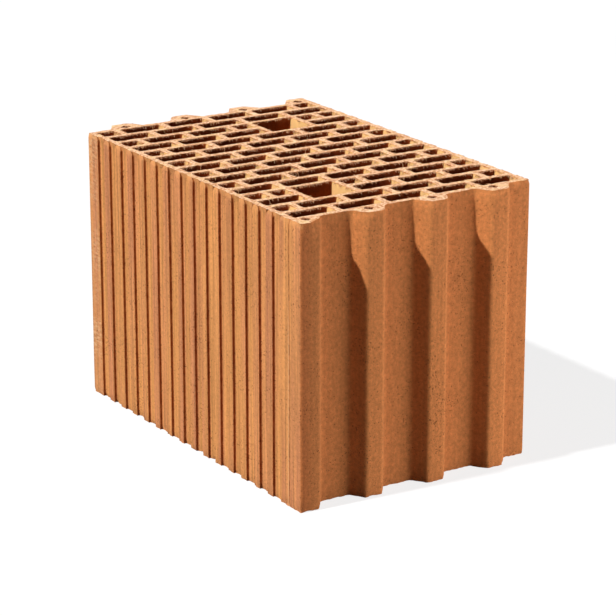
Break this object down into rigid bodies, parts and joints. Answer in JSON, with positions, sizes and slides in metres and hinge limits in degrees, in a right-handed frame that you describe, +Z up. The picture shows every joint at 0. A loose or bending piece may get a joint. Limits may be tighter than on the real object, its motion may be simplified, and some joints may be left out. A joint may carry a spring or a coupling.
{
  "type": "hollow clay block",
  "caption": "Upright-hollow fired clay masonry block with tongued and grooved ends, keyed long faces, staggered slots and grip holes, for laying in a wall.",
  "frame": {"origin": "middle of the lower bed face, halfway between the tongue crests and the long faces", "axes": "+X along the wall, +Y across it, +Z up along the holes"},
  "size_m": [0.376, 0.24, 0.249],
  "materials": {
    "fired_clay": "fired, unglazed, matt"
  },
  "bodies": {
    "root": {"clay_block": "fired_clay"}
  },
  "joints": []
}
